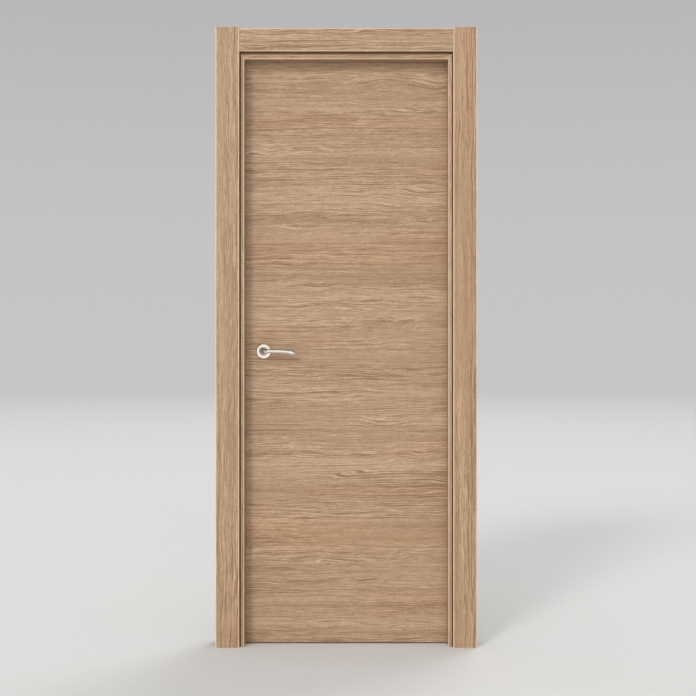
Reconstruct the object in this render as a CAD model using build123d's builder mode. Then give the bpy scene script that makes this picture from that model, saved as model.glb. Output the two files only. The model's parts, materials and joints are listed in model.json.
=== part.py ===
# An interior oak door: a flush leaf with horizontal grain, hung in a rebated frame with flat architraves.
# Millimetres, +Z up. +Y is the way that the leaf opens, so the front, with the deep reveal, faces -Y.
# The origin lies on the face of the hinge jamb that bears on the wall, at floor level, halfway through it.

import os
from math import cos, hypot, radians, sin

from build123d import *

# Leaf
leaf_width = 725.0
leaf_height = 2030.0
leaf_thickness = 35.0
face_thickness = 4.0
lipping_thickness = 6.0
lipping_arris = 1.0
lock_stile_width = 110.0
hinge_stile_width = 60.0
rail_width = 90.0

# Gaps round the leaf
edge_gap = 5.0
floor_gap = 5.0
seal_gap = 4.5

# Frame
jamb_depth = 90.0
jamb_thickness = 35.0
stop_depth = 50.0
stop_lap = 11.5
stop_arris = 3.0
band_arris = 1.5
shoulder_arris = 0.8

# Architraves
leg_width = 82.0
head_width = 79.5
architrave_thickness = 12.0
architrave_arris = 3.0
end_arris = 0.5
leg_rise = 4.2
tongue_thickness = 4.0
tongue_length = 9.0
groove_spare = 1.0
side_band = 12.0
side_quirk = 4.5
head_band = 16.0
head_quirk = 8.5
back_band = 8.0
back_quirk = 1.0

# Seal
seal_stem = 3.5
seal_stem_depth = 6.0
seal_inset = 3.0
seal_bulb_width = 6.5
seal_round_share = 0.7
seal_squeeze_clearance = 0.3

# Hinges
hinge_height = 100.0
hinge_from_end = 230.0
plate_width = 27.0
plate_thickness = 2.5
plate_corner = 7.0
knuckle_radius = 6.5
knuckle_crown = 2.0
knuckle_standoff = 2.5
knuckle_clearance = 0.3
pin_radius = 3.5
pin_clearance = 0.05
pin_reach = 42.0

# Latch and strike
backset = 75.0
spindle_above_leaf_foot = 1013.0
faceplate_height = 170.0
faceplate_width = 22.0
faceplate_thickness = 3.0
case_length = 92.0
case_height = 68.0
case_thickness = 14.0
case_below_spindle = 26.0
case_clearance = 0.5
bolt_above_spindle = 22.0
bolt_height = 18.0
bolt_thickness = 11.0
bolt_length = 38.0
bolt_nose_share = 0.7
bolt_clearance = 0.3
strike_height = 84.0
strike_thickness = 2.0
strike_corner = 5.5
strike_window_height = 26.0
strike_window_width = 14.0
strike_pocket_depth = 11.0
strike_lip = 6.0
strike_lip_turn = 60.0

# Lever set
spindle_size = 8.0
spindle_hole_radius = 10.0
spindle_turning_clearance = 0.6
socket_depth = 15.0
rose_radius = 26.0
rose_thickness = 8.0
rose_shoulder = 3.0
boss_radius = 18.5
boss_rise = 1.5
neck_radius = 9.5
neck_clearance = 0.3
neck_foot = 2.0
collar_radius = 16.5
collar_thickness = 2.0
neck_straight = 25.0
elbow_radius = 19.0
lever_reach = 112.0
grip_height = 14.6
grip_thickness = 9.4
grip_flare = 2.4
grip_rise = 0.7
grip_droop = 8.7
grip_return = 3.6
tip_radius = 7.0

# Fixing screw holes in the jambs
fixing_radius = 3.0
fixing_head_radius = 6.0
fixing_outer_spacing = 1240.0
fixing_inner_spacing = 500.0
fixing_centre_height = 1025.0

# Places worked out from the sizes above
rebate_width = stop_lap + edge_gap
opening_width = leaf_width - 2 * stop_lap
opening_height = floor_gap + leaf_height - stop_lap
front_edge = -jamb_depth / 2
back_edge = jamb_depth / 2
shoulder = front_edge + stop_depth
leaf_front = shoulder + seal_gap
leaf_back = leaf_front + leaf_thickness
leaf_middle = (leaf_front + leaf_back) / 2
leaf_foot = floor_gap
leaf_top = leaf_foot + leaf_height

hinge_reveal = -jamb_thickness
hinge_rebate = hinge_reveal + rebate_width
leaf_hinge_edge = hinge_rebate - edge_gap
leaf_lock_edge = leaf_hinge_edge - leaf_width
lock_rebate = leaf_lock_edge - edge_gap
lock_reveal = lock_rebate + rebate_width
lock_wall_face = lock_reveal - jamb_thickness
head_outer = opening_height + jamb_thickness

pin_x = (hinge_rebate + leaf_hinge_edge) / 2
pin_y = leaf_back + knuckle_standoff + knuckle_radius
hinge_heights = {
    "bottom": leaf_foot + hinge_from_end,
    "middle": leaf_foot + leaf_height / 2,
    "top": leaf_top - hinge_from_end,
}

spindle_x = leaf_lock_edge + backset
spindle_z = leaf_foot + spindle_above_leaf_foot
bolt_z = spindle_z + bolt_above_spindle

right = Vector(1, 0, 0)
left = Vector(-1, 0, 0)
back = Vector(0, 1, 0)
front = Vector(0, -1, 0)
up = Vector(0, 0, 1)

corner_low = (Align.MIN, Align.MIN)
block_low = (Align.MIN, Align.MIN, Align.MIN)

# Each mitre plane faces the head, so a side member keeps what lies below it
hinge_mitre = Plane(origin=(hinge_reveal, 0, opening_height), x_dir=(0, 1, 0), z_dir=(-1, 0, 1))
lock_mitre = Plane(origin=(lock_reveal, 0, opening_height), x_dir=(0, 1, 0), z_dir=(1, 0, 1))


def section_plane(origin, outward, through):
    """A plane for a moulding's section: x runs away from the opening and y through the wall."""
    return Plane(origin=origin, x_dir=outward, z_dir=outward.cross(through))


def write(builder, name):
    """Names a finished piece and writes it."""
    builder.part.label = name
    export_step(builder.part, f"parts/{name}.step")


def strip(low_x, low_y, width, depth):
    """Takes a rectangle out of the section being drawn."""
    with Locations((low_x, low_y)):
        Rectangle(width, depth, align=corner_low, mode=Mode.SUBTRACT)


def ease(section, corner, radius):
    """Rounds the corner of the section nearest to a point."""
    fillet(section.vertices().sort_by_distance((*corner, 0))[0], radius)


def jamb_section(section, band, quirk):
    """The jamb board behind the stop, with a groove in each edge for an architrave's tongue."""
    with Locations((rebate_width, 0)):
        Rectangle(jamb_thickness - rebate_width, jamb_depth, align=corner_low)
    groove_depth = tongue_length + groove_spare
    strip(band, 0, quirk + tongue_thickness, groove_depth)
    back_groove = rebate_width + back_band
    strip(back_groove, jamb_depth - groove_depth, back_quirk + tongue_thickness, groove_depth)
    if band > rebate_width:
        ease(section, (band, 0), band_arris)


def stop_section(section, band, quirk):
    """The stop that forms the rebate: a rounded front arris, and a groove for the seal in its shoulder."""
    Rectangle(rebate_width, stop_depth, align=corner_low)
    strip(band, 0, quirk + tongue_thickness, tongue_length + groove_spare)
    strip(seal_inset, stop_depth - seal_stem_depth, seal_stem, seal_stem_depth)
    ease(section, (0, 0), stop_arris)
    ease(section, (0, stop_depth), shoulder_arris)
    if band < rebate_width:
        ease(section, (band, 0), band_arris)


def seal_section(section):
    """The seal: a stem that fills its groove, and a bulb that the leaf closes on."""
    with Locations((seal_inset, stop_depth - seal_stem_depth)):
        Rectangle(seal_stem, seal_stem_depth, align=corner_low)
    bulb_reach = seal_gap - seal_squeeze_clearance
    with Locations((seal_inset + seal_stem / 2 - seal_bulb_width / 2, stop_depth)):
        Rectangle(seal_bulb_width, bulb_reach, align=corner_low)
    crown = section.vertices().group_by(Axis.Y)[-1]
    fillet(crown, bulb_reach * seal_round_share)


def side_member(draw, reveal, outward, mitre):
    """A jamb or seal at the side of the opening, from the floor up to its mitre."""
    with BuildPart() as member:
        with BuildSketch(section_plane((reveal, front_edge, 0), outward, back)) as section:
            draw(section)
        extrude(amount=head_outer, dir=up)
        split(bisect_by=mitre, keep=Keep.BOTTOM)
    return member


def head_member(draw):
    """A jamb or seal over the opening, mitred at both ends."""
    with BuildPart() as member:
        with BuildSketch(section_plane((0, front_edge, opening_height), up, back)) as section:
            draw(section)
        extrude(amount=-lock_wall_face, dir=left)
        split(bisect_by=hinge_mitre, keep=Keep.TOP)
        split(bisect_by=lock_mitre, keep=Keep.TOP)
    return member


def hinge_plate_plane(face_x, edge_y, height, into):
    """The face that a hinge plate is let into: x runs from the edge at the back towards the front."""
    return Plane(origin=(face_x, edge_y, height), x_dir=front, z_dir=into)


def plate_outline(section):
    """A hinge plate's outline, with the corners away from the knuckle rounded."""
    Rectangle(plate_width, hinge_height, align=(Align.MIN, Align.CENTER))
    fillet(section.vertices().group_by(Axis.X)[-1], plate_corner)


def cut_hinge_recesses(face_x, edge_y, into):
    """Lets the three hinge plates into the piece being made."""
    for height in hinge_heights.values():
        with BuildSketch(hinge_plate_plane(face_x, edge_y, height, into)) as recess:
            plate_outline(recess)
        extrude(recess.sketch, amount=plate_thickness, mode=Mode.SUBTRACT)


def cut_fixing_holes(rebate_face, into):
    """Four countersunk holes for the screws that hold a jamb to the wall."""
    middle = (shoulder + leaf_back) / 2
    surface = Plane(origin=(rebate_face, middle, fixing_centre_height), x_dir=up, z_dir=-into)
    with Locations(surface):
        for spacing in (fixing_outer_spacing, fixing_inner_spacing):
            with Locations((-spacing / 2, 0), (spacing / 2, 0)):
                CounterSinkHole(fixing_radius, fixing_head_radius, depth=jamb_thickness)


def make_hinge_jamb():
    """The jamb that carries the hinges."""

    def draw(section):
        jamb_section(section, side_band, side_quirk)

    with BuildPart() as jamb:
        add(side_member(draw, hinge_reveal, right, hinge_mitre).part)
        cut_hinge_recesses(hinge_rebate, back_edge, right)
        cut_fixing_holes(hinge_rebate, right)
    return jamb


def make_lock_jamb():
    """The jamb that the latch shoots into."""

    def draw(section):
        jamb_section(section, side_band, side_quirk)

    with BuildPart() as jamb:
        add(side_member(draw, lock_reveal, left, lock_mitre).part)
        with BuildSketch(Plane(origin=(lock_rebate, leaf_middle, bolt_z), x_dir=back, z_dir=left)) as recess:
            strike_outline(recess)
        extrude(amount=strike_thickness, mode=Mode.SUBTRACT)
        with BuildSketch(Plane(origin=(lock_rebate, leaf_middle, bolt_z), x_dir=back, z_dir=left)):
            Rectangle(strike_window_width, strike_window_height)
        extrude(amount=strike_thickness + strike_pocket_depth, mode=Mode.SUBTRACT)
        cut_fixing_holes(lock_rebate, left)
    return jamb


def strike_outline(section):
    """The strike: a plate on the leaf's centre line with a tab that runs out to the jamb's back edge."""
    RectangleRounded(faceplate_width, strike_height, strike_corner)
    tab = back_edge - leaf_middle
    Rectangle(tab, strike_window_height, align=(Align.MIN, Align.CENTER))


def make_strike():
    """The strike plate, its window for the bolt and the lip that leads the bolt in."""
    face = Plane(origin=(lock_rebate, leaf_middle, bolt_z), x_dir=back, z_dir=left)
    with BuildPart() as strike:
        with BuildSketch(face) as outline:
            strike_outline(outline)
            Rectangle(strike_window_width, strike_window_height - 2 * strike_thickness, mode=Mode.SUBTRACT)
        extrude(amount=strike_thickness)
        lip_root = (lock_rebate - strike_thickness / 2, back_edge)
        with BuildSketch(Plane.XY.offset(bolt_z - strike_window_height / 2)):
            with BuildLine():
                bend = JernArc(start=lip_root, tangent=(0, 1), radius=strike_lip, arc_size=strike_lip_turn)
                offset(bend, amount=strike_thickness / 2, side=Side.BOTH)
            make_face()
        extrude(amount=strike_window_height)
    return strike


def architrave_section(section, width):
    """A flat architrave with eased front edges: y = 0 is the wall."""
    with Locations((0, -architrave_thickness)):
        Rectangle(width, architrave_thickness, align=corner_low)
    fillet(section.vertices().group_by(Axis.Y)[0], architrave_arris)


def make_architrave(plane, width, run, length, tongue_start, tongue_run):
    """An architrave board with the tongue that sits in the jamb's groove."""
    tongue_plane = Plane(origin=plane.origin + run * tongue_start, x_dir=plane.x_dir, z_dir=plane.z_dir)
    with BuildPart() as board:
        with BuildSketch(plane) as section:
            architrave_section(section, width)
        extrude(amount=length, dir=run)
        with BuildSketch(tongue_plane):
            Rectangle(tongue_thickness, tongue_length, align=corner_low)
        extrude(amount=tongue_run, dir=run)
    return board


def make_architraves():
    """Two legs and a head on each side of the wall. The legs run up a little past the head."""
    made = {}
    back_gap = rebate_width + back_band + back_quirk
    for side, wall, through, gap, head_gap in (
        ("front", front_edge, back, side_band + side_quirk, head_band + head_quirk),
        ("back", back_edge, front, back_gap, back_gap),
    ):
        head_foot = opening_height + head_gap
        leg_height = head_foot + head_width + leg_rise
        hinge_inner = hinge_reveal + gap
        lock_inner = lock_reveal - gap
        for name, inner, outward in (("hinge", hinge_inner, right), ("lock", lock_inner, left)):
            plane = section_plane((inner, wall, 0), outward, through)
            made[f"{side}_{name}_architrave"] = make_architrave(
                plane, leg_width, up, leg_height, 0, opening_height
            )
        plane = section_plane((hinge_inner, wall, head_foot), up, through)
        made[f"{side}_head_architrave"] = make_architrave(
            plane, head_width, left, hinge_inner - lock_inner, hinge_inner - hinge_reveal, opening_width
        )
    return made


def make_leaf_pieces():
    """The leaf: two veneered faces on a framed core, with solid lippings on the long edges and the top."""
    made = {}
    core_front = leaf_front + face_thickness
    core_thickness = leaf_thickness - 2 * face_thickness
    inner_lock = leaf_lock_edge + lipping_thickness
    inner_hinge = leaf_hinge_edge - lipping_thickness
    inner_width = inner_hinge - inner_lock
    inner_height = leaf_height - lipping_thickness
    rail_start = inner_lock + lock_stile_width
    rail_length = inner_width - lock_stile_width - hinge_stile_width
    spindle_axis = Plane(origin=(spindle_x, leaf_front, spindle_z), x_dir=right, z_dir=front)

    for name, face_y in (("front_face", leaf_front), ("back_face", leaf_back - face_thickness)):
        with BuildPart() as face:
            with Locations((inner_lock, face_y, leaf_foot)):
                Box(inner_width, face_thickness, inner_height, align=block_low)
            with Locations(spindle_axis):
                Hole(spindle_hole_radius)
        made[name] = face

    with BuildPart() as lock_stile:
        with Locations((inner_lock, core_front, leaf_foot)):
            Box(lock_stile_width, core_thickness, inner_height, align=block_low)
        with Locations((inner_lock, leaf_middle, spindle_z - case_below_spindle - case_clearance)):
            Box(
                case_length - lipping_thickness + faceplate_thickness + 2 * case_clearance,
                case_thickness + 2 * case_clearance,
                case_height + 2 * case_clearance,
                align=(Align.MIN, Align.CENTER, Align.MIN),
                mode=Mode.SUBTRACT,
            )
        with Locations(spindle_axis):
            Hole(spindle_hole_radius)
    made["lock_stile"] = lock_stile

    with BuildPart() as hinge_stile:
        with Locations((inner_hinge - hinge_stile_width, core_front, leaf_foot)):
            Box(hinge_stile_width, core_thickness, inner_height, align=block_low)
    made["hinge_stile"] = hinge_stile

    rail_feet = (("bottom_rail", leaf_foot), ("top_rail", leaf_foot + inner_height - rail_width))
    for name, foot in rail_feet:
        with BuildPart() as rail:
            with Locations((rail_start, core_front, foot)):
                Box(rail_length, core_thickness, rail_width, align=block_low)
        made[name] = rail

    with BuildPart() as core:
        with Locations((rail_start, core_front, leaf_foot + rail_width)):
            Box(rail_length, core_thickness, inner_height - 2 * rail_width, align=block_low)
    made["core"] = core

    with BuildPart() as lock_lipping:
        with BuildSketch(section_plane((inner_lock, leaf_front, leaf_foot), left, back)) as section:
            Rectangle(lipping_thickness, leaf_thickness, align=corner_low)
            fillet(section.vertices().group_by(Axis.X)[-1], lipping_arris)
        extrude(amount=leaf_height, dir=up)
        with Locations((leaf_lock_edge, leaf_middle, bolt_z)):
            Box(
                faceplate_thickness,
                faceplate_width,
                faceplate_height,
                align=(Align.MIN, Align.CENTER, Align.CENTER),
                mode=Mode.SUBTRACT,
            )
        with Locations((leaf_lock_edge, leaf_middle, spindle_z - case_below_spindle - case_clearance)):
            Box(
                lipping_thickness,
                case_thickness + 2 * case_clearance,
                case_height + 2 * case_clearance,
                align=(Align.MIN, Align.CENTER, Align.MIN),
                mode=Mode.SUBTRACT,
            )
    made["lock_lipping"] = lock_lipping

    with BuildPart() as hinge_lipping:
        with BuildSketch(section_plane((inner_hinge, leaf_front, leaf_foot), right, back)) as section:
            Rectangle(lipping_thickness, leaf_thickness, align=corner_low)
            fillet(section.vertices().group_by(Axis.X)[-1], lipping_arris)
        extrude(amount=leaf_height, dir=up)
        cut_hinge_recesses(leaf_hinge_edge, leaf_back, left)
    made["hinge_lipping"] = hinge_lipping

    with BuildPart() as top_lipping:
        lipping_foot = (inner_hinge, leaf_front, leaf_foot + inner_height)
        with BuildSketch(section_plane(lipping_foot, up, back)) as section:
            Rectangle(lipping_thickness, leaf_thickness, align=corner_low)
            fillet(section.vertices().group_by(Axis.X)[-1], lipping_arris)
        extrude(amount=inner_width, dir=left)
    made["top_lipping"] = top_lipping
    return made


def make_hinge_half(face_x, edge_y, into, height, half):
    """One half of a hinge: the plate, and the knuckle below (-1) or above (1) the middle."""
    knuckle_length = hinge_height / 2 - knuckle_clearance / 2
    knuckle_middle = half * (hinge_height / 2 - knuckle_length / 2)
    beside = Align.MIN if into.X > 0 else Align.MAX
    beyond = Align.MIN if half > 0 else Align.MAX
    strap_height = knuckle_length - knuckle_crown
    with BuildPart() as leaf:
        with Locations((pin_x, pin_y, height + knuckle_middle)):
            Cylinder(knuckle_radius, knuckle_length)
        fillet(leaf.edges().group_by(Axis.Z)[-1 if half > 0 else 0], knuckle_crown)
        with Locations((face_x, edge_y, height + half * knuckle_clearance / 2)):
            Box(plate_thickness, pin_y - edge_y, strap_height, align=(beside, Align.MIN, beyond))
        with BuildSketch(hinge_plate_plane(face_x, edge_y, height, into)) as outline:
            plate_outline(outline)
        extrude(amount=plate_thickness)
        with Locations((pin_x, pin_y, height)):
            Cylinder(pin_radius + pin_clearance, 2 * pin_reach, mode=Mode.SUBTRACT)
    return leaf


def make_hinges():
    """Three lift-off hinges: a half on the jamb with the lower knuckle, a half on the leaf, and a pin."""
    made = {}
    for place, height in hinge_heights.items():
        made[f"{place}_hinge_jamb_half"] = make_hinge_half(hinge_rebate, back_edge, right, height, -1)
        made[f"{place}_hinge_leaf_half"] = make_hinge_half(leaf_hinge_edge, leaf_back, left, height, 1)
        with BuildPart() as pin:
            with Locations((pin_x, pin_y, height)):
                Cylinder(pin_radius, 2 * pin_reach)
        made[f"{place}_hinge_pin"] = pin
    return made


def make_latch():
    """The latch: a case in the stile, a faceplate on the leaf's edge, and the bolt level with it."""
    made = {}
    case_start = leaf_lock_edge + faceplate_thickness
    with BuildPart() as case:
        with Locations((case_start, leaf_middle, spindle_z - case_below_spindle)):
            Box(case_length, case_thickness, case_height, align=(Align.MIN, Align.CENTER, Align.MIN))
        with Locations(Plane(origin=(spindle_x, leaf_front, spindle_z), x_dir=right, z_dir=front)):
            Hole(hypot(spindle_size, spindle_size) / 2 + spindle_turning_clearance)
        with Locations((case_start, leaf_middle, bolt_z)):
            Box(
                bolt_length,
                bolt_thickness + bolt_clearance,
                bolt_height + bolt_clearance,
                align=(Align.MIN, Align.CENTER, Align.CENTER),
                mode=Mode.SUBTRACT,
            )
    made["latch_case"] = case

    with BuildPart() as faceplate:
        with BuildSketch(Plane(origin=(leaf_lock_edge, leaf_middle, bolt_z), x_dir=back, z_dir=right)):
            Rectangle(faceplate_width, faceplate_height)
            Rectangle(bolt_thickness + bolt_clearance, bolt_height + bolt_clearance, mode=Mode.SUBTRACT)
        extrude(amount=faceplate_thickness)
    made["latch_faceplate"] = faceplate

    with BuildPart() as bolt:
        with Locations((leaf_lock_edge, leaf_middle, bolt_z)):
            Box(
                bolt_length + faceplate_thickness,
                bolt_thickness,
                bolt_height,
                align=(Align.MIN, Align.CENTER, Align.CENTER),
            )
        nose = bolt.edges().filter_by(Axis.Z).group_by(Axis.X)[0].sort_by(Axis.Y)[-1]
        chamfer(nose, length=faceplate_thickness, length2=bolt_thickness * bolt_nose_share)
    made["latch_bolt"] = bolt
    return made


def lever_plane(face_y, outward):
    """The plane of the lever set: x runs along the lever, y out from the leaf's face."""
    return Plane(origin=(spindle_x, face_y, spindle_z), x_dir=right, z_dir=right.cross(outward))


def make_rose(face_y, outward):
    """The round rose: a flat disc with a rounded shoulder and a raised ring round the neck."""
    with BuildPart() as rose:
        with BuildSketch(lever_plane(face_y, outward)) as section:
            with BuildLine():
                inner = neck_radius + neck_clearance
                rim = rose_thickness - rose_shoulder
                Polyline((inner, 0), (rose_radius, 0), (rose_radius, rim))
                RadiusArc((rose_radius, rim), (rose_radius - rose_shoulder, rose_thickness), -rose_shoulder)
                Line((rose_radius - rose_shoulder, rose_thickness), (boss_radius + boss_rise, rose_thickness))
                boss_top = rose_thickness + boss_rise
                RadiusArc((boss_radius + boss_rise, rose_thickness), (boss_radius, boss_top), boss_rise)
                Polyline((boss_radius, boss_top), (inner, boss_top), (inner, 0))
            make_face()
        revolve(axis=Axis((spindle_x, face_y, spindle_z), outward))
    return rose


def lever_stations():
    """Where the lever's sections stand: along, out and up, and each section's height and thickness."""
    stations = []
    for turn in (0, 30, 60, 90):
        share = turn / 90
        along = elbow_radius * (1 - cos(radians(turn)))
        out = neck_straight + elbow_radius * sin(radians(turn))
        height = 2 * neck_radius + share * (grip_height - 2 * neck_radius)
        thickness = 2 * neck_radius + share * (grip_thickness - 2 * neck_radius)
        stations.append((along, out, share * grip_rise, height, thickness))

    grip_out = neck_straight + elbow_radius
    tip_start = lever_reach - tip_radius
    grip = [(elbow_radius + share * (tip_start - elbow_radius), 1.0) for share in (0.2, 0.4, 0.6, 0.8)]
    tip = [(tip_start + tip_radius * sin(radians(turn)), cos(radians(turn))) for turn in (0, 35, 60, 80)]
    for along, size in grip + tip:
        bend = (along / lever_reach) ** 4
        out = grip_out - grip_return * bend
        rise = grip_rise - grip_droop * bend
        stations.append((along, out, rise, (grip_height + grip_flare * bend) * size, grip_thickness * size))
    return stations


def make_lever(face_y, outward):
    """The lever: a round neck with a collar, an elbow, and a grip that droops to a rounded end."""
    base = Vector(spindle_x, face_y, spindle_z)
    stations = lever_stations()
    centres = [base + right * along + outward * out + up * rise for along, out, rise, _, _ in stations]
    with BuildPart() as lever:
        for number, (_, _, _, height, thickness) in enumerate(stations):
            before = centres[max(number - 1, 0)]
            after = centres[min(number + 1, len(centres) - 1)]
            tangent = outward if number == 0 else (after - before).normalized()
            upright = (up - tangent * up.dot(tangent)).normalized()
            with BuildSketch(Plane(origin=centres[number], x_dir=upright, z_dir=tangent)):
                Ellipse(height / 2, thickness / 2)
        loft()
        with BuildSketch(lever_plane(face_y, outward)):
            with BuildLine():
                collar_foot = rose_thickness + boss_rise + neck_clearance
                collar_top = collar_foot + collar_thickness
                flare = collar_radius - neck_radius
                flare_top = collar_top + flare
                Polyline((0, neck_foot), (neck_radius, neck_foot), (neck_radius, collar_foot))
                Polyline((neck_radius, collar_foot), (collar_radius, collar_foot), (collar_radius, collar_top))
                CenterArc((collar_radius, flare_top), flare, 180, 90)
                Polyline((neck_radius, flare_top), (neck_radius, neck_straight), (0, neck_straight))
                Line((0, neck_straight), (0, neck_foot))
            make_face()
        revolve(axis=Axis(tuple(base), tuple(outward)))
        with BuildSketch(Plane(origin=base + outward * neck_foot, x_dir=right, z_dir=outward)):
            Rectangle(spindle_size, spindle_size)
        extrude(amount=socket_depth, mode=Mode.SUBTRACT)
    return lever


def make_lever_set():
    """A rose and a lever on each face, and the square spindle that joins the levers."""
    made = {}
    for side, face_y, outward in (("front", leaf_front, front), ("back", leaf_back, back)):
        made[f"{side}_rose"] = make_rose(face_y, outward)
        made[f"{side}_lever"] = make_lever(face_y, outward)
    spindle_end = neck_foot + socket_depth
    with BuildPart() as spindle:
        with Locations((spindle_x, leaf_middle, spindle_z)):
            Box(spindle_size, leaf_thickness + 2 * spindle_end, spindle_size)
    made["spindle"] = spindle
    return made


def make_frame():
    """The three jambs, the stop and the seal on each of them, and the strike."""

    def draw_head_jamb(section):
        jamb_section(section, head_band, head_quirk)

    def draw_head_stop(section):
        stop_section(section, head_band, head_quirk)

    def draw_side_stop(section):
        stop_section(section, side_band, side_quirk)

    return {
        "hinge_jamb": make_hinge_jamb(),
        "lock_jamb": make_lock_jamb(),
        "head_jamb": head_member(draw_head_jamb),
        "hinge_stop": side_member(draw_side_stop, hinge_reveal, right, hinge_mitre),
        "lock_stop": side_member(draw_side_stop, lock_reveal, left, lock_mitre),
        "head_stop": head_member(draw_head_stop),
        "hinge_seal": side_member(seal_section, hinge_reveal, right, hinge_mitre),
        "lock_seal": side_member(seal_section, lock_reveal, left, lock_mitre),
        "head_seal": head_member(seal_section),
        "strike": make_strike(),
    }


os.makedirs("parts", exist_ok=True)
for pieces in (
    make_frame(),
    make_architraves(),
    make_leaf_pieces(),
    make_hinges(),
    make_latch(),
    make_lever_set(),
):
    for name, builder in pieces.items():
        write(builder, name)
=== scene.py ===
import json
from math import atan, cos, radians, sin

import bmesh
import bpy
from bpy.props import FloatProperty, FloatVectorProperty, PointerProperty
from mathutils import Matrix, Vector

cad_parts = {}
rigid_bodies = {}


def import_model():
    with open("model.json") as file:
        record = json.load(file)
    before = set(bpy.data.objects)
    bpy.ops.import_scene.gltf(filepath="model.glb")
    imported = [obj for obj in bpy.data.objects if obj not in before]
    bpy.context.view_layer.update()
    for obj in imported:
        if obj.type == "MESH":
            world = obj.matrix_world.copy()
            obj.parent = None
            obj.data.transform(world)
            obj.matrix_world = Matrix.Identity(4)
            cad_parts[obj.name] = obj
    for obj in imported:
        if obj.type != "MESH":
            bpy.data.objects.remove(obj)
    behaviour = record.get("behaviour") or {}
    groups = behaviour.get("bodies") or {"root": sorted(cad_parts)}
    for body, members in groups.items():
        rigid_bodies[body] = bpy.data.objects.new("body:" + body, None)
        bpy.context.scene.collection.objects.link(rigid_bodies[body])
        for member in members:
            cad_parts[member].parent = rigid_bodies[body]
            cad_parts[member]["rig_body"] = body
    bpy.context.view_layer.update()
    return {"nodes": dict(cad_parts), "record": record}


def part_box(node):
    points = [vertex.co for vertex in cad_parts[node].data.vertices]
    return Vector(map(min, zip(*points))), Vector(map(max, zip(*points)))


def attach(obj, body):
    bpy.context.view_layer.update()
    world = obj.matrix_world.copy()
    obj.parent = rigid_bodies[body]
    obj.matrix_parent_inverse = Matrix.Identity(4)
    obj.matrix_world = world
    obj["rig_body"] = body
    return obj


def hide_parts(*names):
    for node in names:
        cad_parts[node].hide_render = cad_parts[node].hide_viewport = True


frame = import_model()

bl_info = {
    "name": "Oak door with frame",
    "version": (1, 0, 0),
    "blender": (4, 5, 0),
    "location": "View3D > Sidebar > Oak door",
    "description": "Gives the door its oak, chrome, steel and rubber, and sets the studio round it",
    "category": "Object",
}

X, Y, Z = Vector((1, 0, 0)), Vector((0, 1, 0)), Vector((0, 0, 1))
finish_slots = {part["node"]: part["material_slot"] for part in frame["record"]["subparts"]}
sides = ("lock", "hinge", "head")
hinge_places = ("bottom", "middle", "top")

# Places on the frame and on the leaf
hinge_jamb_low, hinge_jamb_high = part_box("hinge_jamb")
lock_jamb_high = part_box("lock_jamb")[1]
hinge_lipping_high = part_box("hinge_lipping")[1]
lock_leg_low, lock_leg_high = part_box("front_lock_architrave")
hinge_leg_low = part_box("front_hinge_architrave")[0]
architrave_face = lock_leg_low.y
opening_centre = Vector(((lock_leg_high.x + hinge_leg_low.x) / 2, 0.0, lock_leg_high.z / 2))

# The architraves lie on the jambs' edges, and a narrow groove runs in from each edge between two depths
jamb_edge = hinge_jamb_high.y
architrave_thickness = abs(architrave_face) - jamb_edge
groove_mouth, groove_depth = 0.002, 0.0105

# Corners of a solid's loose triangles that lie nearer than this are one
weld = 0.000002
# A face turned further than this from every axis is an eased edge
eased_from = radians(4)
# A wall beside a groove leans less than this towards the front or the back
wall_within = radians(35)
# An edge where the surface turns further than this is sharp
sharp_from = radians(28)

# A board's shade against the rest: below nought it is darker
board_shades = {
    "lock_jamb": -0.01,
    "hinge_jamb": -0.05,
    "head_jamb": -0.16,
    "front_lock_architrave": -0.03,
    "front_hinge_architrave": -0.03,
    "front_head_architrave": -0.07,
}

# How far the painted shade covers a board's grooves and the walls beside them; where it is None, they are
# finished like faces and edges
board_groove_shades = {
    "hinge_jamb": 0.4,
    "head_jamb": 0.0,
    "front_hinge_architrave": None,
    "front_head_architrave": 0.3,
}

# How much further on in the tree the frame's next board is cut, along three axes
board_step = (1.7, 0.9, 0.53)
# How much further on in its noise the next ring's tone is read
ring_step = 2.618
# What the two tints multiply the wood's colour by
warm_tint, cool_tint = (1.035, 0.975, 0.945), (0.975, 1.01, 0.985)

# The mix node's sockets where it mixes colours
mix_factor, mix_first, mix_second, mix_result = 0, 6, 7, 2


def colour(name, description, default):
    """A colour that a user would change."""
    return FloatVectorProperty(
        name=name, description=description, subtype="COLOR", size=3, min=0, max=1, default=default
    )


def length(name, description, default):
    """A length that a user would change, in metres."""
    return FloatProperty(name=name, description=description, unit="LENGTH", precision=4, default=default)


def number(name, description, default):
    """A plain number that a user would change."""
    return FloatProperty(name=name, description=description, default=default)


def angle(name, description, degrees):
    """An angle that a user would change."""
    return FloatProperty(name=name, description=description, subtype="ANGLE", default=radians(degrees))


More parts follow.
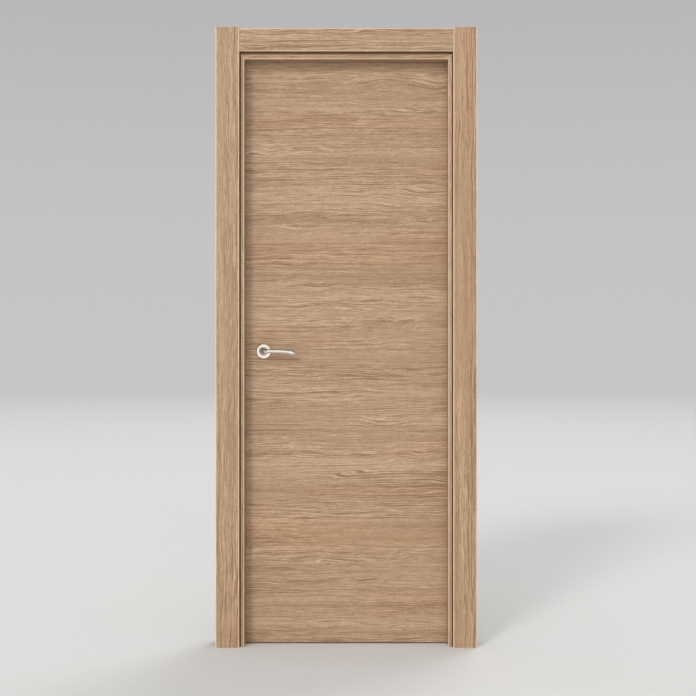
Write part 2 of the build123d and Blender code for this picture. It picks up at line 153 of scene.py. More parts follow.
class OakFinish(bpy.types.PropertyGroup):
    """Colours and lacquer of the oak"""

    pale: colour("Pale wood", "The palest early wood", (0.615, 0.425, 0.275))
    dark: colour("Dark wood", "The darkest late wood", (0.268, 0.150, 0.064))
    pore: colour("Pores", "Open pores along the grain", (0.16, 0.085, 0.04))
    pore_cover: number("Pore cover", "How far the pores' colour covers the wood", 0.48)
    # Painted highlight: the eased edges' colour is a pale tone that stands for light catching them, and it
    # covers the edges of the architraves' legs the most
    edge: colour("Worn edge", "Eased edges, where the stain is thin", (0.86, 0.67, 0.49))
    edge_wear: number("Edge wear", "How far the worn colour covers the eased edges", 0.7)
    leg_highlight_cover: number("Leg wear", "How far it covers them on the architraves' legs", 0.95)
    # Painted shade: the grooves' colour is a dark tone that stands for the shade in them and on the walls
    # beside them
    groove: colour("Stained groove", "Narrow grooves, where the stain gathers", (0.12, 0.042, 0.008))
    groove_stain: number("Groove stain", "How far the stain's colour covers the grooves", 0.95)
    groove_shine: number("Groove shine", "Share of the lacquer's shine in the grooves", 0.1)
    gloss: number("Lacquer roughness", "Roughness of the satin lacquer", 0.46)
    coat: number("Lacquer coat", "Weight of the lacquer's clear coat", 0.12)
    relief: length("Relief", "Depth of the grain's relief", 0.0006)


class MetalFinish(bpy.types.PropertyGroup):
    """Colours of the metal and rubber parts"""

    chrome: colour("Chrome", "Polished levers and roses", (0.79, 0.75, 0.68))
    steel: colour("Steel", "Hinges, latch and screws", (0.58, 0.575, 0.56))
    rubber: colour("Rubber", "Seals in the frame", (0.045, 0.024, 0.012))


class ScrewSizes(bpy.types.PropertyGroup):
    """Sizes and places of the countersunk screws"""

    head: length("Head radius", "Radius of a screw's head", 0.0038)
    top_share: number("Head's top", "Width of a head's top as a share of its rim", 0.93)
    proud: length("Stands proud", "How far a head stands out of its plate", 0.0002)
    arm: length("Recess arm", "Half the length of the cross recess", 0.0021)
    slot: length("Recess width", "Half the width of the cross recess", 0.00055)
    depth: length("Recess depth", "Depth of the cross recess", 0.0012)
    from_knuckle: length("From the knuckle", "From a hinge's edge to its nearer row of screws", 0.0085)
    row_gap: length("Row gap", "Between the two rows of screws in a hinge", 0.0095)
    outer: length("Outer screws", "From a hinge's middle to its outer screws", 0.036)
    inner: length("Inner screws", "From a hinge's middle to its inner screws", 0.013)
    from_end: length("From the end", "From a plate's end to its screw", 0.0085)


class StudioSetting(bpy.types.PropertyGroup):
    """The photograph's point of view and the studio's light"""

    camera_distance: length("Camera distance", "From the architraves' face to the lens", 4.5)
    camera_height: length("Camera height", "Lens above the floor", 1.0295)
    camera_aside: length("Camera aside", "Lens to the right of the opening's middle", 0.0058)
    picture_width: length("Picture width", "Width seen at the architraves' face", 2.389)
    floor_radius: length("Floor radius", "Radius of the studio floor", 60.0)
    haze_start: length("Haze start", "Where the floor starts to fade into the horizon", 3.0)
    haze_end: length("Haze end", "Where the floor has faded into the horizon", 30.0)
    key_power: number("Key light", "Strength of the key light on the upper left", 0.98)
    key_aside: angle("Key aside", "Turn of the key light to the left", 25.0)
    key_height: angle("Key height", "Height of the key light over the horizon", 28.0)
    key_spread: angle("Key spread", "Softness of the key light", 14.0)
    front_power: number("Front light", "Strength of the broad light round the lens", 1.38)
    front_aside: angle("Front aside", "Turn of the front light to the left", 7.0)
    front_height: angle("Front height", "Height of the front light over the horizon", 6.0)
    front_spread: angle("Front spread", "Softness of the front light", 68.0)
    back_power: number("Back light", "Strength of the light behind the door", 1.05)
    back_aside: angle("Back aside", "Turn of the back light to the left and round", 205.0)
    back_height: angle("Back height", "Height of the back light over the horizon", 35.0)
    back_spread: angle("Back spread", "Softness of the back light", 40.0)
    top_power: number("Top light", "Strength of the light overhead", 0.95)
    top_aside: angle("Top aside", "Turn of the top light to the left", 0.0)
    top_height: angle("Top height", "Height of the top light over the horizon", 86.0)
    top_spread: angle("Top spread", "Softness of the top light", 60.0)
    card_power: number("Card power", "Power of the white card behind the lens", 42.0)
    card_behind: length("Card behind", "From the lens back to the white card", 1.2)
    card_above: length("Card above", "From the lens up to the white card's middle", 1.6)
    card_width: length("Card width", "Width of the white card", 3.6)
    card_height: length("Card height", "Height of the white card", 5.2)
    horizon: colour("Horizon", "Even light at the horizon", (0.56, 0.56, 0.555))
    zenith: colour("Zenith", "Even light overhead", (0.20, 0.20, 0.20))
    floor: colour("Floor", "Pale studio floor", (0.74, 0.74, 0.73))


class DoorSettings(bpy.types.PropertyGroup):
    """Everything that a user would change on the door"""

    oak: PointerProperty(type=OakFinish)
    metal: PointerProperty(type=MetalFinish)
    screw: PointerProperty(type=ScrewSizes)
    studio: PointerProperty(type=StudioSetting)


def add_node(tree, kind, values=None, **settings):
    """Adds a shader node, sets its properties, and fills or links its inputs."""
    node = tree.nodes.new(kind)
    for key, value in settings.items():
        setattr(node, key, value)
    for key, value in (values or {}).items():
        if isinstance(value, bpy.types.NodeSocket):
            tree.links.new(value, node.inputs[key])
        else:
            node.inputs[key].default_value = value
    return node


def sum_up(tree, operation, *values):
    """The result of one sum on numbers."""
    return add_node(tree, "ShaderNodeMath", dict(enumerate(values)), operation=operation).outputs[0]


def vector_sum(tree, operation, *values):
    """The result of one sum on vectors."""
    return add_node(tree, "ShaderNodeVectorMath", dict(enumerate(values)), operation=operation).outputs[0]


def add_parts(tree, total, *parts):
    """A total with each part added to it, times the part's weight."""
    for value, weight in parts:
        total = sum_up(tree, "MULTIPLY_ADD", value, weight, total)
    return total


def centred(tree, value):
    """A value that lies round a half, moved to lie round nought."""
    return sum_up(tree, "SUBTRACT", value, 0.5)


def ramp(tree, value, low, high, to_low=0.0, to_high=1.0):
    """A smooth step of a value from one range to another."""
    values = {"Value": value, "From Min": low, "From Max": high, "To Min": to_low, "To Max": to_high}
    return add_node(tree, "ShaderNodeMapRange", values, interpolation_type="SMOOTHSTEP").outputs[0]


def mix_colour(tree, factor, first, second, blend="MIX"):
    """One colour blended into another."""
    values = {mix_factor: factor, mix_first: first, mix_second: second}
    node = add_node(tree, "ShaderNodeMix", values, data_type="RGBA", blend_type=blend)
    return node.outputs[mix_result]


def solid(rgb):
    """A colour with its alpha."""
    return (*rgb, 1.0)


def new_material(name):
    """An empty material, and the tree to fill."""
    material = bpy.data.materials.new(name)
    material.use_nodes = True
    material.node_tree.nodes.clear()
    return material, material.node_tree


def object_place(tree):
    """The place on the object, in metres."""
    return tree.nodes.new("ShaderNodeTexCoord").outputs["Object"]


def surface(tree, values):
    """Ends a material in one principled shader."""
    shader = add_node(tree, "ShaderNodeBsdfPrincipled", values)
    add_node(tree, "ShaderNodeOutputMaterial", {"Surface": shader.outputs[0]})


def noise(tree, place, scale=1.0, detail=0.0, rough=0.5, output="Fac"):
    """Even noise, with the number of features to a metre as its scale."""
    values = {"Vector": place, "Scale": scale, "Detail": detail, "Roughness": rough}
    return add_node(tree, "ShaderNodeTexNoise", values).outputs[output]


def grain_noise(tree, place, along, across, detail=0.0, rough=0.5, output="Fac"):
    """Noise stretched along the grain, with the number of features to a metre along and across it."""
    stretched = vector_sum(tree, "MULTIPLY", place, (along, across, across))
    return noise(tree, stretched, detail=detail, rough=rough, output=output)


def sway(tree, place, along, across, reach, strength=1.0):
    """Shifts the grain sideways, up to a reach in metres."""
    shift = grain_noise(tree, place, along, across, detail=1.0, output="Color")
    shift = vector_sum(tree, "SUBTRACT", shift, (0.5, 0.5, 0.5))
    shift = vector_sum(tree, "MULTIPLY", shift, (0.0, 2 * reach, 2 * reach))
    scaled = {0: shift, "Scale": strength}
    shift = add_node(tree, "ShaderNodeVectorMath", scaled, operation="SCALE").outputs[0]
    return vector_sum(tree, "ADD", place, shift)


def long_bends(tree, place):
    """The grain with the long bends that every line of it follows."""
    bent = sway(tree, place, along=0.45, across=3.0, reach=0.010)
    bent = sway(tree, bent, along=1.6, across=7.0, reach=0.014)
    return sway(tree, bent, along=0.6, across=20.0, reach=0.006)


def short_waves(tree, place, bent, disturbed):
    """The bent grain with its short waves, which are strongest in patches and where it is disturbed."""
    patches = grain_noise(tree, place, along=2.0, across=9.0, detail=1.0)
    patches = ramp(tree, patches, low=0.50, high=0.60)
    waved = sway(tree, bent, along=4.0, across=12.0, reach=0.026, strength=patches)
    waved = sway(tree, waved, along=7.0, across=22.0, reach=0.006)
    return sway(tree, waved, along=10.0, across=36.0, reach=0.009, strength=disturbed)


def grain_axes(tree, place):
    """How far along the grain a place is, and how far across it, where depth counts half."""
    parts = add_node(tree, "ShaderNodeSeparateXYZ", {0: place})
    return parts.outputs["X"], sum_up(tree, "MULTIPLY_ADD", parts.outputs["Y"], 0.5, parts.outputs["Z"])


def ring_streaks(tree, axes, lengthwise, rings, seed):
    """One streak to a ring: its tone, which changes along the grain, and the place across the ring."""
    along, across = axes
    growth = sum_up(tree, "MULTIPLY_ADD", across, rings, seed)
    ring = sum_up(tree, "FLOOR", growth)
    length_on = sum_up(tree, "MULTIPLY", along, lengthwise)
    ring_on = sum_up(tree, "MULTIPLY", ring, ring_step)
    place = add_node(tree, "ShaderNodeCombineXYZ", {0: length_on, 1: ring_on, 2: seed}).outputs[0]
    return noise(tree, place), sum_up(tree, "SUBTRACT", growth, ring)


def shaded_rings(tree, axes, lengthwise, rings, seed, contrast):
    """Streaks that darken across each ring, the strong ones the most, and the place across the ring."""
    tone, ring = ring_streaks(tree, axes, lengthwise, rings, seed)
    slope = ramp(tree, tone, low=0.35, high=0.65, to_low=0.1, to_high=contrast)
    return sum_up(tree, "SUBTRACT", tone, sum_up(tree, "MULTIPLY", centred(tree, ring), slope)), ring


def growth_streaks(tree, drawn):
    """All widths of streaks added up, and the places across the wide rings and across the narrow ones."""
    axes = grain_axes(tree, drawn)
    wide, wide_ring = shaded_rings(tree, axes, lengthwise=1.2, rings=110.0, seed=0.37, contrast=2.2)
    narrow, narrow_ring = shaded_rings(tree, axes, lengthwise=2.5, rings=240.0, seed=0.48, contrast=1.6)
    fine, _ = ring_streaks(tree, axes, lengthwise=16.0, rings=430.0, seed=0.59)
    hairs, _ = ring_streaks(tree, axes, lengthwise=30.0, rings=900.0, seed=0.70)
    weights = ((wide, 0.2), (narrow, 0.8), (fine, 1.0), (hairs, 0.8))
    streaks = add_parts(tree, 0.0, *((centred(tree, part), weight) for part, weight in weights))
    return streaks, wide_ring, narrow_ring


def ring_lines(tree, bent):
    """The dark line of late wood that ends a strong ring, and the pale line of early wood that begins it."""
    strength, ring = ring_streaks(tree, grain_axes(tree, bent), lengthwise=0.6, rings=30.0, seed=0.77)
    strong = ramp(tree, strength, low=0.47, high=0.64)
    late_wood = sum_up(tree, "MULTIPLY", ramp(tree, ring, low=0.90, high=0.98), strong)
    early_wood = sum_up(tree, "MULTIPLY", ramp(tree, ring, low=0.10, high=0.02), strong)
    return late_wood, early_wood


def ray_flecks(tree, drawn, disturbed):
    """Pale flecks that slant a little across the grain where it is disturbed."""
    slant = {"Vector": drawn, "Angle": radians(8)}
    slanted = add_node(tree, "ShaderNodeVectorRotate", slant, rotation_type="Y_AXIS").outputs[0]
    flecks = grain_noise(tree, slanted, along=24.0, across=200.0, detail=1.0)
    return sum_up(tree, "MULTIPLY", ramp(tree, flecks, low=0.54, high=0.66), disturbed)


def open_pores(tree, drawn, wide_ring, narrow_ring):
    """Small and large pores along the grain, most of them early in their rings."""
    small = ramp(tree, grain_noise(tree, drawn, along=75.0, across=1500.0), low=0.58, high=0.66)
    large = ramp(tree, grain_noise(tree, drawn, along=38.0, across=800.0), low=0.62, high=0.70)
    small = sum_up(tree, "MULTIPLY", small, ramp(tree, narrow_ring, low=0.75, high=0.15, to_low=0.25))
    large = sum_up(tree, "MULTIPLY", large, ramp(tree, wide_ring, low=0.60, high=0.10, to_low=0.10))
    return sum_up(tree, "MAXIMUM", small, large)


def tinted(tree, wood, bent):
    """The wood, a little redder in some long stretches and a little greener in others."""
    tint = grain_noise(tree, bent, along=0.3, across=5.0, detail=3.0, rough=0.7)
    wood = mix_colour(tree, ramp(tree, tint, low=0.45, high=0.68), wood, solid(warm_tint), "MULTIPLY")
    return mix_colour(tree, ramp(tree, tint, low=0.55, high=0.32), wood, solid(cool_tint), "MULTIPLY")


def fill_oak_group(tree, place, shade):
    """Fills the oak's figure and gives its colour, roughness and height."""
    oak = bpy.context.scene.oak_door.oak
    disturbed = grain_noise(tree, place, along=2.6, across=14.0, detail=1.0)
    disturbed = ramp(tree, disturbed, low=0.58, high=0.70)
    bent = long_bends(tree, place)
    drawn = short_waves(tree, place, bent, disturbed)

    broad = grain_noise(tree, bent, along=0.36, across=9.0, detail=3.0, rough=0.65)
    figured = grain_noise(tree, bent, along=0.8, across=11.0, detail=2.0)
    figured = ramp(tree, figured, low=0.34, high=0.64, to_low=0.35, to_high=1.3)
    streaks, wide_ring, narrow_ring = growth_streaks(tree, drawn)
    late_wood, early_wood = ring_lines(tree, bent)
    fibre = grain_noise(tree, drawn, along=26.0, across=620.0, detail=1.0)
    pores = open_pores(tree, drawn, wide_ring, narrow_ring)

    tone = add_parts(
        tree,
        0.5,
        (centred(tree, broad), 1.25),
        (centred(tree, shade), 1.0),
        (streaks, figured),
        (late_wood, -0.50),
        (early_wood, 0.35),
        (centred(tree, fibre), 0.4),
        (ray_flecks(tree, drawn, disturbed), 0.22),
    )
    wood = tinted(tree, mix_colour(tree, tone, solid(oak.dark), solid(oak.pale)), bent)
    wood = mix_colour(tree, sum_up(tree, "MULTIPLY", pores, oak.pore_cover), wood, solid(oak.pore))
    rough = add_parts(tree, oak.gloss, (centred(tree, fibre), 0.14), (pores, 0.2))
    height = add_parts(tree, 0.0, (fibre, 0.35), (late_wood, -0.3), (pores, -0.8))
    return wood, rough, height


def oak_group():
    """The oak's figure as one group of nodes, which every board shares."""
    if "oak figure" in bpy.data.node_groups:
        return bpy.data.node_groups["oak figure"]
    tree = bpy.data.node_groups.new("oak figure", "ShaderNodeTree")
    for name, way, kind in (
        ("Place", "INPUT", "Vector"),
        ("Shade", "INPUT", "Float"),
        ("Colour", "OUTPUT", "Color"),
        ("Roughness", "OUTPUT", "Float"),
        ("Height", "OUTPUT", "Float"),
    ):
        tree.interface.new_socket(name, in_out=way, socket_type=f"NodeSocket{kind}")
    given = tree.nodes.new("NodeGroupInput").outputs
    wood, rough, height = fill_oak_group(tree, given["Place"], given["Shade"])
    add_node(tree, "NodeGroupOutput", {"Colour": wood, "Roughness": rough, "Height": height})
    return tree


def oak_material(name, grain, offset, shade=0.0, painted_light=None, cover=0.0, shine=1.0):
    """Lacquered oak with its grain along an axis, cut from one place in the tree; a flat colour may cover
    it, which is a painted highlight on eased edges and a painted shade in grooves.
    """
    oak = bpy.context.scene.oak_door.oak
    material, tree = new_material(name)
    turn = (0.0, radians(90), 0.0) if grain == Z else (0.0, 0.0, 0.0)
    mapped = {"Vector": object_place(tree), "Location": offset, "Rotation": turn}
    place = add_node(tree, "ShaderNodeMapping", mapped).outputs[0]
    figure = add_node(tree, "ShaderNodeGroup", {0: place, 1: 0.5 + shade}, node_tree=oak_group()).outputs
    wood = figure["Colour"]
    # Painted light: a flat colour mixed over the wood, pale for a painted highlight and dark for a painted
    # shade
    if painted_light:
        wood = mix_colour(tree, cover, wood, solid(painted_light))
    relief = {"Strength": 0.5, "Distance": oak.relief, "Height": figure["Height"]}
    surface(
        tree,
        {
            "Base Color": wood,
            "Roughness": figure["Roughness"],
            "Normal": add_node(tree, "ShaderNodeBump", relief).outputs[0],
            "Specular IOR Level": 0.5 * shine,
            "Coat Weight": oak.coat * shine,
            "Coat Roughness": 0.3,
        },
    )
    return material


def oak_board(name, grain, offset, shade=0.0, highlight_and_wear=None, painted_shade=None):
    """A board's finishes: for its faces, for its eased edges, with a painted highlight, and, where it has a
    painted shade, for its grooves.
    """
    oak = bpy.context.scene.oak_door.oak
    cut = (grain, offset, shade)
    highlight_and_wear = oak.edge_wear if highlight_and_wear is None else highlight_and_wear
    finishes = [oak_material(f"oak {name}", *cut), oak_material(f"oak {name} edge", *cut, oak.edge, highlight_and_wear)]
    if painted_shade is not None:
        finishes.append(oak_material(f"oak {name} groove", *cut, oak.groove, painted_shade, oak.groove_shine))
    return finishes


def metal_material(name, rgb, roughness, highlight_and_wear):
    """Metal with a faint unevenness of its polish."""
    material, tree = new_material(name)
    cloud = noise(tree, object_place(tree), scale=90.0, detail=3.0)
    rough = add_parts(tree, roughness, (centred(tree, cloud), highlight_and_wear))
    surface(tree, {"Base Color": solid(rgb), "Metallic": 1.0, "Roughness": rough})
    return material


def rubber_material(name, rgb):
    """Matt rubber with a fine grain."""
    material, tree = new_material(name)
    grain = noise(tree, object_place(tree), scale=1200.0, detail=2.0)
    bump = add_node(tree, "ShaderNodeBump", {"Strength": 0.3, "Distance": 0.0002, "Height": grain})
    surface(tree, {"Base Color": solid(rgb), "Roughness": 0.62, "Normal": bump.outputs[0]})
    return material


def make_object(shape, name, *materials):
    """Turns a finished bmesh into an object of the scene."""
    mesh = bpy.data.meshes.new(name)
    shape.to_mesh(mesh)
    shape.free()
    for material in materials:
        mesh.materials.append(material)
    made = bpy.data.objects.new(name, mesh)
    bpy.context.scene.collection.objects.link(made)
    return made


def place_piece(shape, name, body, slot, *materials):
    """Turns a finished bmesh into a piece that rides on a body."""
    piece = make_object(shape, name, *materials)
    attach(piece, body)
    return piece


def finish_of(face, count):
    """Which of a count of finishes a face takes: 0 if it is flat, 1 on an eased edge, where a highlight is
    painted, 2 in or beside a groove, where shade is painted.
    """
    middle = face.calc_center_median()
    depth = jamb_edge - abs(middle.y)
    in_groove = groove_mouth < depth < groove_depth
    beside_groove = (
        -architrave_thickness < depth < 0
        and abs(face.normal.y) < sin(wall_within)
        and face.normal.dot(opening_centre - middle) > 0
    )
    if count > 2 and (in_groove or beside_groove):
        return 2
    if count > 1 and max(abs(part) for part in face.normal) < cos(eased_from):
        return 1
    return 0


def smooth_copy(node, *materials):
    """Makes a merged, smoothly shaded copy stand for a node: faces, then eased edges, then grooves."""
    source = frame["nodes"][node]
    shape = bmesh.new()
    shape.from_mesh(source.data)
    bmesh.ops.remove_doubles(shape, verts=shape.verts, dist=weld)
    for face in shape.faces:
        face.smooth = True
        face.material_index = finish_of(face, len(materials))
    for edge in shape.edges:
        edge.smooth = len(edge.link_faces) == 2 and edge.calc_face_angle(0.0) < sharp_from
    piece = place_piece(shape, f"{node}_smooth", source["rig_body"], finish_slots[node], *materials)
    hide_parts(node)


def corners(geometry):
    """The vertices among the parts that an operator made."""
    return [part for part in geometry if isinstance(part, bmesh.types.BMVert)]


def sink_recess(head, screw):
    """Cuts the outline of a cross into a screw's head and sinks it."""
    for axis in (X, Y):
        for reach in (screw.slot, screw.arm):
            for side in (-1, 1):
                geometry = head.verts[:] + head.edges[:] + head.faces[:]
                bmesh.ops.bisect_plane(head, geom=geometry, plane_co=axis * reach * side, plane_no=axis)
    recess = []
    for face in head.faces:
        middle = face.calc_center_median()
        near, far = sorted((abs(middle.x), abs(middle.y)))
        if middle.z > screw.proud / 2 and near < screw.slot and far < screw.arm:
            recess.append(face)
    sunk = bmesh.ops.extrude_face_region(head, geom=recess)["geom"]
    bmesh.ops.delete(head, geom=recess, context="FACES_ONLY")
    bmesh.ops.translate(head, verts=corners(sunk), vec=-Z * screw.depth)


def add_screw(shape, centre, out):
    """Adds a countersunk screw's head to a bmesh: a low disc with an eased rim and a cross recess."""
    screw = bpy.context.scene.oak_door.screw
    head = bmesh.new()
    bmesh.ops.create_circle(head, cap_ends=True, segments=28, radius=screw.head)
    raised = corners(bmesh.ops.extrude_face_region(head, geom=head.faces[:])["geom"])
    bmesh.ops.translate(head, verts=raised, vec=Z * screw.proud)
    bmesh.ops.scale(head, verts=raised, vec=(screw.top_share, screw.top_share, 1.0))
    sink_recess(head, screw)
    bmesh.ops.recalc_face_normals(head, faces=head.faces)
    turned = Matrix((Z.cross(out), Z, out)).transposed().to_4x4()
    head.transform(Matrix.Translation(centre) @ turned)
    mesh = bpy.data.meshes.new("screw")
    head.to_mesh(mesh)
    head.free()
    shape.from_mesh(mesh)
    bpy.data.meshes.remove(mesh)


def screw_piece(name, node, material, centres, out):
    """Makes one piece of all the screws in a plate, on the plate's body."""
    shape = bmesh.new()
    for centre in centres:
        add_screw(shape, Vector(centre), out)
    place_piece(shape, name, frame["nodes"][node]["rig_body"], finish_slots[node], material)


class DOOR_OT_leaf(bpy.types.Operator):
    """Gives the leaf its oak faces, lippings and core"""

    bl_idname = "oak_door.leaf"
    bl_label = "Leaf"

    def execute(self, context):
        lipping = oak_board("lipping", Z, offset=(1.3, 0.2, 0.6))
        top_lipping = oak_board("top lipping", X, offset=(4.1, 0.5, 0.2))
        front = oak_material("oak leaf face", X, offset=(0.37, 0.0, 0.31))
        back = oak_material("oak leaf back", X, offset=(2.9, 1.7, 0.4))
        core = oak_material("core timber", X, offset=(6.2, 2.2, 1.9))
        for node, materials in (
            ("front_face", (front,)),
            ("back_face", (back,)),
            ("lock_lipping", lipping),
            ("hinge_lipping", lipping),
            ("top_lipping", top_lipping),
            ("core", (core,)),
            ("bottom_rail", (core,)),
            ("top_rail", (core,)),
            ("lock_stile", lipping[:1]),
            ("hinge_stile", lipping[:1]),
        ):
            smooth_copy(node, *materials)
        return {"FINISHED"}


class DOOR_OT_frame(bpy.types.Operator):
    """Gives the jambs, stops and architraves their oak, each board with its own figure and shade"""

    bl_idname = "oak_door.frame"
    bl_label = "Frame"

    def execute(self, context):
        oak = context.scene.oak_door.oak
        boards = [(f"{side}_jamb", f"{side}_stop") for side in sides]
        boards += [(f"{face}_{side}_architrave",) for face in ("front", "back") for side in sides]
        for count, nodes in enumerate(boards):
            board = nodes[0]
            grain = X if "head" in board else Z
            # Each board's eased edges take a painted highlight, and its grooves take a painted shade unless
            # its entry is None
            finishes = oak_board(
                board.replace("_", " "),
                grain,
                offset=[count * step for step in board_step],
                shade=board_shades.get(board, 0.0),
                highlight_and_wear=oak.leg_highlight_cover if grain == Z and "architrave" in board else oak.edge_wear,
                painted_shade=board_groove_shades.get(board, oak.groove_stain),
            )
            for node in nodes:
                smooth_copy(node, *finishes)
        return {"FINISHED"}


class DOOR_OT_seals(bpy.types.Operator):
    """Gives the seals their rubber"""

    bl_idname = "oak_door.seals"
    bl_label = "Seals"

    def execute(self, context):
        rubber = rubber_material("seal rubber", context.scene.oak_door.metal.rubber)
        for side in sides:
            smooth_copy(f"{side}_seal", rubber)
        return {"FINISHED"}


class DOOR_OT_hinges(bpy.types.Operator):
    """Gives the hinges their steel, and each plate its four screws"""

    bl_idname = "oak_door.hinges"
    bl_label = "Hinges"

    def execute(self, context):
        metal, screw = context.scene.oak_door.metal, context.scene.oak_door.screw
        steel = metal_material("satin hinge steel", metal.steel, roughness=0.3, highlight_and_wear=0.12)
        for place in hinge_places:
            for part in ("jamb_half", "leaf_half", "pin"):
                smooth_copy(f"{place}_hinge_{part}", steel)
            low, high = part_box(f"{place}_hinge_pin")
            middle = (low.z + high.z) / 2
            for part, face_x, edge_y, out in (
                ("jamb_half", hinge_jamb_low.x, hinge_jamb_high.y, -X),
                ("leaf_half", hinge_lipping_high.x, hinge_lipping_high.y, X),
            ):
                centres = [
                    (face_x, edge_y - screw.from_knuckle - row * screw.row_gap, middle + side * reach)
                    for side in (-1, 1)
                    for row, reach in enumerate((screw.outer, screw.inner))
                ]
                screw_piece(f"{place}_hinge_{part}_screws", f"{place}_hinge_{part}", steel, centres, out)
        return {"FINISHED"}


class DOOR_OT_latch(bpy.types.Operator):
    """Gives the latch, strike and spindle their steel, and the two plates their screws"""

    bl_idname = "oak_door.latch"
    bl_label = "Latch and strike"

    def execute(self, context):
        metal, from_end = context.scene.oak_door.metal, context.scene.oak_door.screw.from_end
        steel = metal_material("brushed latch steel", metal.steel, roughness=0.34, highlight_and_wear=0.12)
        for node in ("strike", "latch_faceplate", "latch_bolt", "latch_case", "spindle"):
            smooth_copy(node, steel)
        plate_low, plate_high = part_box("latch_faceplate")
        middle = (plate_low.y + plate_high.y) / 2
        for node, face_x, out in (("latch_faceplate", plate_low.x, -X), ("strike", lock_jamb_high.x, X)):
            low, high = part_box(node)
            centres = [(face_x, middle, height) for height in (low.z + from_end, high.z - from_end)]
            screw_piece(f"{node}_screws", node, steel, centres, out)
        return {"FINISHED"}


class DOOR_OT_levers(bpy.types.Operator):
    """Gives the roses and levers their polished chrome"""

    bl_idname = "oak_door.levers"
    bl_label = "Lever set"

    def execute(self, context):
        metal = context.scene.oak_door.metal
        chrome = metal_material("polished chrome", metal.chrome, roughness=0.09, highlight_and_wear=0.05)
        for face in ("front", "back"):
            for part in ("rose", "lever"):
                smooth_copy(f"{face}_{part}", chrome)
        return {"FINISHED"}


def lay_floor(studio):
    """Lays the pale floor, which fades into the horizon far away."""
    material, tree = new_material("studio floor")
    chalk = add_node(tree, "ShaderNodeBsdfDiffuse", {"Color": solid(studio.floor)})
    haze = add_node(tree, "ShaderNodeEmission", {"Color": solid(studio.horizon)})
    distance = add_node(tree, "ShaderNodeVectorMath", {0: object_place(tree)}, operation="LENGTH")
    faded = ramp(tree, distance.outputs["Value"], low=studio.haze_start, high=studio.haze_end)
    blend = add_node(tree, "ShaderNodeMixShader", {0: faded, 1: chalk.outputs[0], 2: haze.outputs[0]})
    add_node(tree, "ShaderNodeOutputMaterial", {"Surface": blend.outputs[0]})
    disc = bmesh.new()
    bmesh.ops.create_circle(disc, cap_ends=True, segments=96, radius=studio.floor_radius)
    make_object(disc, "studio_floor", material)


def from_direction(aside, height):
    """A unit vector towards a light, turned aside from the front and raised over the horizon."""
    return Vector((-sin(aside) * cos(height), -cos(aside) * cos(height), sin(height)))


def far_light(name, towards, strength, spread):
    """A broad even light from far away, which polished metal doesn't mirror."""
    data = bpy.data.lights.new(name, "SUN")
    data.energy = strength
    data.angle = spread
    light = bpy.data.objects.new(name, data)
    light.rotation_euler = towards.to_track_quat("Z", "Y").to_euler()
    light.visible_glossy = False
    bpy.context.scene.collection.objects.link(light)


def white_card(name, place, target, size, power):
    """A soft rectangular light that looks at a target, and that only gloss mirrors."""
    data = bpy.data.lights.new(name, "AREA")
    data.shape = "RECTANGLE"
    data.size, data.size_y = size
    data.energy = power
    light = bpy.data.objects.new(name, data)
    light.location = place
    light.rotation_euler = (place - target).to_track_quat("Z", "Y").to_euler()
    light.visible_diffuse = False
    bpy.context.scene.collection.objects.link(light)


def hang_lights(studio, lens):
    """Hangs the four far lights, and the white card behind and above the lens."""
    for light in ("key", "front", "back", "top"):
        aside, height, power, spread = (
            getattr(studio, f"{light}_{part}") for part in ("aside", "height", "power", "spread")
        )
        far_light(f"{light} light", from_direction(aside, height), power, spread)
    place = lens + Vector((0.0, -studio.card_behind, studio.card_above))
    white_card("white card", place, place + Y, (studio.card_width, studio.card_height), studio.card_power)


def studio_air(studio):
    """Even light that is brighter at the horizon than overhead."""
    world = bpy.data.worlds.new("studio air")
    world.use_nodes = True
    tree = world.node_tree
    tree.nodes.clear()
    direction = tree.nodes.new("ShaderNodeTexCoord").outputs["Generated"]
    height = add_node(tree, "ShaderNodeSeparateXYZ", {0: direction}).outputs["Z"]
    overhead = ramp(tree, height, low=0.0, high=0.8)
    shade = mix_colour(tree, overhead, solid(studio.horizon), solid(studio.zenith))
    glow = add_node(tree, "ShaderNodeBackground", {"Color": shade})
    add_node(tree, "ShaderNodeOutputWorld", {"Surface": glow.outputs[0]})
    return world


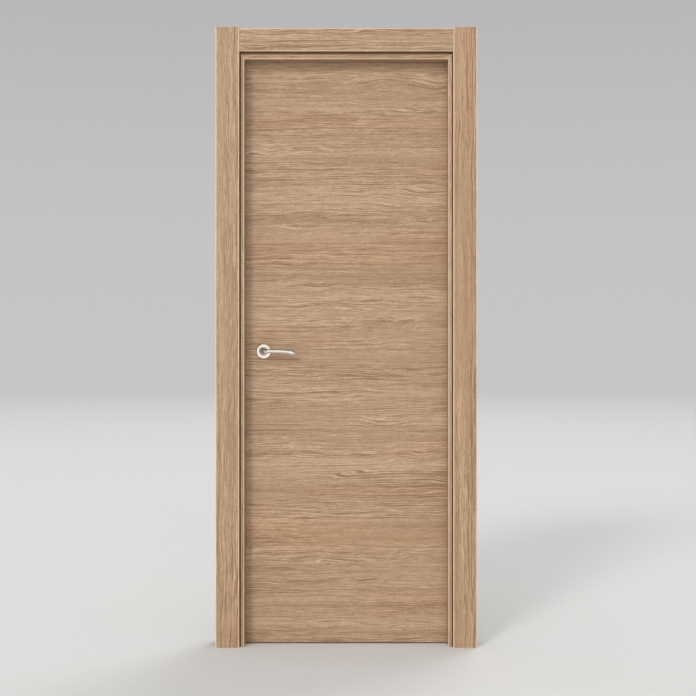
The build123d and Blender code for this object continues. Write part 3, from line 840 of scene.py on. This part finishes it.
def set_camera(studio, lens):
    """Sets a level camera at the lens, as wide as the photograph."""
    camera = bpy.data.cameras.new("camera")
    camera.angle = 2 * atan(studio.picture_width / 2 / studio.camera_distance)
    camera.clip_end = 100.0
    eye = bpy.data.objects.new("camera", camera)
    eye.location = lens
    eye.rotation_euler = (radians(90), 0.0, 0.0)
    bpy.context.scene.collection.objects.link(eye)
    bpy.context.scene.camera = eye


class DOOR_OT_studio(bpy.types.Operator):
    """Lays the floor, hangs the lights and sets the camera where the photograph was taken from"""

    bl_idname = "oak_door.studio"
    bl_label = "Studio"

    def execute(self, context):
        studio = context.scene.oak_door.studio
        lens_x = opening_centre.x + studio.camera_aside
        lens = Vector((lens_x, architrave_face - studio.camera_distance, studio.camera_height))
        lay_floor(studio)
        hang_lights(studio, lens)
        context.scene.world = studio_air(studio)
        set_camera(studio, lens)
        context.scene.view_settings.view_transform = "Standard"
        return {"FINISHED"}


steps = (
    DOOR_OT_leaf,
    DOOR_OT_frame,
    DOOR_OT_seals,
    DOOR_OT_hinges,
    DOOR_OT_latch,
    DOOR_OT_levers,
    DOOR_OT_studio,
)


class DOOR_PT_panel(bpy.types.Panel):
    """Lists the door's steps and their settings"""

    bl_label = "Oak door"
    bl_idname = "DOOR_PT_panel"
    bl_space_type = "VIEW_3D"
    bl_region_type = "UI"
    bl_category = "Oak door"

    def draw(self, context):
        settings = context.scene.oak_door
        for group in (settings.oak, settings.metal, settings.screw, settings.studio):
            box = self.layout.box()
            box.label(text=type(group).__doc__)
            for name in group.__annotations__:
                box.prop(group, name)
        for step in steps:
            self.layout.operator(step.bl_idname)


classes = (OakFinish, MetalFinish, ScrewSizes, StudioSetting, DoorSettings, *steps, DOOR_PT_panel)


def register():
    """Registers the settings, the steps and the panel."""
    for one in classes:
        bpy.utils.register_class(one)
    bpy.types.Scene.oak_door = PointerProperty(type=DoorSettings)


def unregister():
    """Takes them away again."""
    del bpy.types.Scene.oak_door
    for one in reversed(classes):
        bpy.utils.unregister_class(one)


def main():
    """Registers everything and runs every step in order."""
    register()
    for step in steps:
        getattr(bpy.ops.oak_door, step.bl_idname.split(".")[1])()


if __name__ == "__main__":
    main()
